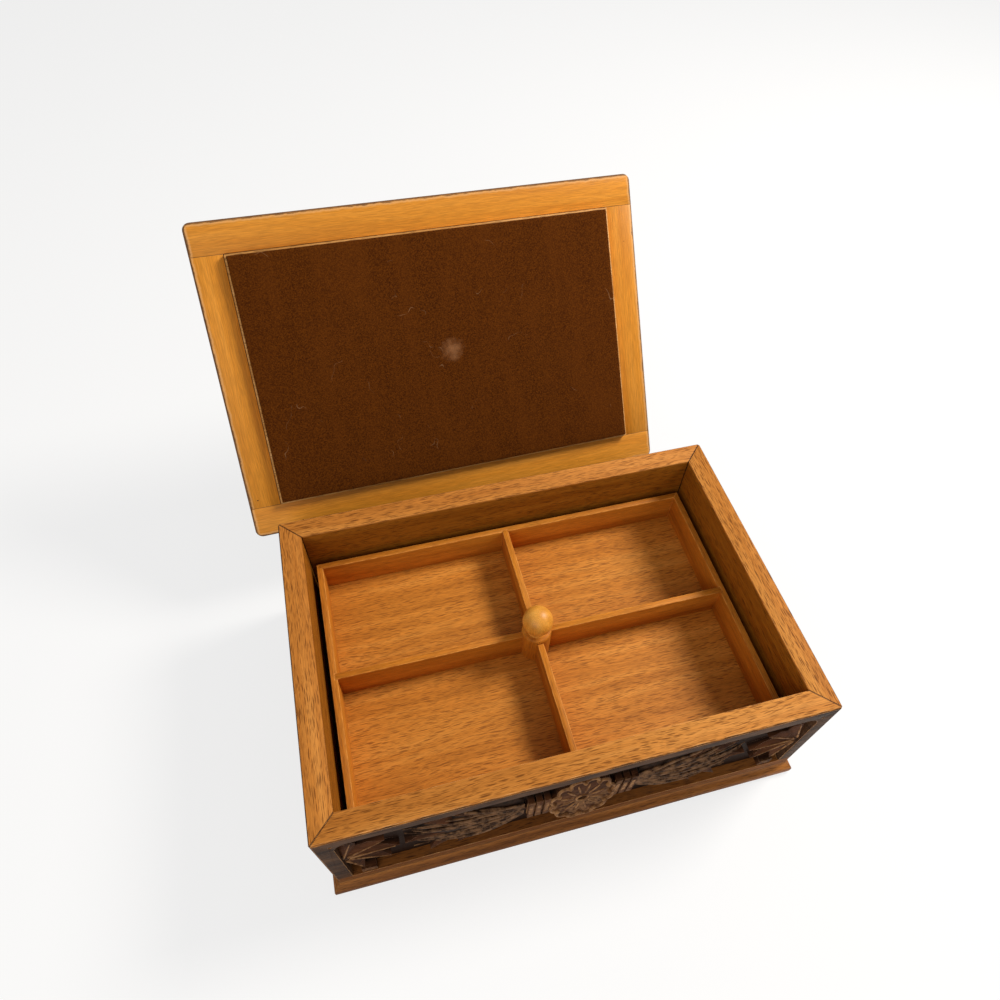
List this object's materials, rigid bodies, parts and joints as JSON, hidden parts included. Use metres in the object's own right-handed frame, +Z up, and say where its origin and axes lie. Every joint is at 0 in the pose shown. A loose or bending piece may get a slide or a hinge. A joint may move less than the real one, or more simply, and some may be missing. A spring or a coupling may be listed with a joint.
{
  "type": "sewing box",
  "caption": "Wooden sewing box with carved sides on a moulded plinth, a lift-out compartment tray with a turned knob, and a velvet-padded lift-off lid.",
  "frame": {"origin": "middle of the box's underside, where it stands", "axes": "+X to the box's right along its long side, +Y to its back, +Z up"},
  "size_m": [0.3257, 0.3794, 0.2396],
  "materials": {
    "outer_wood": "dark varnished hardwood, worn on its edges",
    "carved_wood": "weathered dark carved hardwood",
    "inner_wood": "bare brown hardwood, satin",
    "tray_wood": "golden brown hardwood with open pores, satin",
    "turned_wood": "polished golden hardwood",
    "lid_wood": "golden orange varnished hardwood, satin",
    "velvet": "dark brown velvet, short pile",
    "steel": "plain steel, dulled"
  },
  "bodies": {
    "box": {"plinth_front": "outer_wood", "plinth_right": "outer_wood", "plinth_back": "outer_wood", "plinth_left": "outer_wood", "wall_front": "outer_wood", "wall_right": "outer_wood", "wall_back": "outer_wood", "wall_left": "outer_wood", "carved_panel_front": "carved_wood", "carved_panel_right": "carved_wood", "carved_panel_back": "carved_wood", "carved_panel_left": "carved_wood", "corner_brads": "steel", "bottom_board": "inner_wood", "tray_rest_left": "inner_wood", "tray_rest_right": "inner_wood"},
    "tray": {"tray_side_front": "tray_wood", "tray_side_right": "tray_wood", "tray_side_back": "tray_wood", "tray_side_left": "tray_wood", "tray_floor": "tray_wood", "tray_divider_front": "tray_wood", "tray_divider_right": "tray_wood", "tray_divider_back": "tray_wood", "tray_divider_left": "tray_wood", "tray_post": "turned_wood", "tray_knob": "turned_wood", "post_screw": "steel"},
    "lid": {"lid_rail_front": "lid_wood", "lid_rail_back": "lid_wood", "lid_stile_left": "lid_wood", "lid_stile_right": "lid_wood", "lid_carved_panel": "carved_wood", "lid_pad_board": "lid_wood", "lid_velvet": "velvet"}
  },
  "joints": [
    {"name": "tray_lift", "type": "slide", "parent": "box", "child": "tray", "axis": [0, 0, 1], "range_m": [0, 0.08]},
    {"name": "lid_lift", "type": "slide", "parent": "box", "child": "lid", "axis": [0, 0, 1], "range_m": [0, 0.12]}
  ]
}
